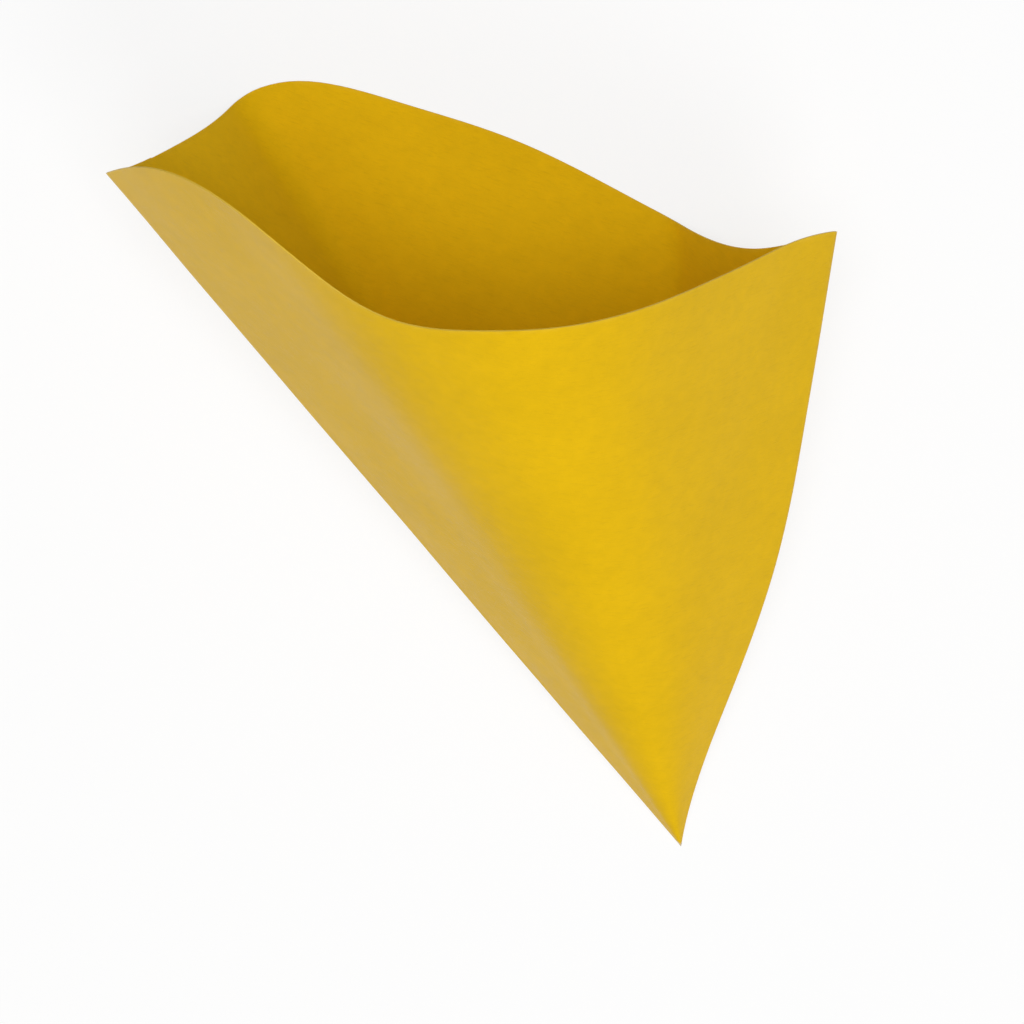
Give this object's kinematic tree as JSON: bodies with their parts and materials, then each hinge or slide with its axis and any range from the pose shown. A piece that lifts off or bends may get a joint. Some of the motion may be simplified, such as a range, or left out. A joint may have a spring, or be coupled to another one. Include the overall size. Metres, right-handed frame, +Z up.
{
  "type": "paper fry cone",
  "caption": "Empty yellow paper fry cone lying on its back, with a slanted curved mouth, one long and one short pinched side crease, and a closed pointed tip.",
  "frame": {"origin": "on the flat strip that the cone lies on, 110 mm from the tip along the floor", "axes": "+Y from the tip toward the mouth, +X toward the short crease, +Z up through the front of the cone"},
  "size_m": [0.1579, 0.2036, 0.1068],
  "materials": {
    "paper": "matte yellow straw paper with a faint fibre grain and a lighter cut edge"
  },
  "bodies": {
    "root": {"paper_cone": "paper"}
  },
  "joints": []
}
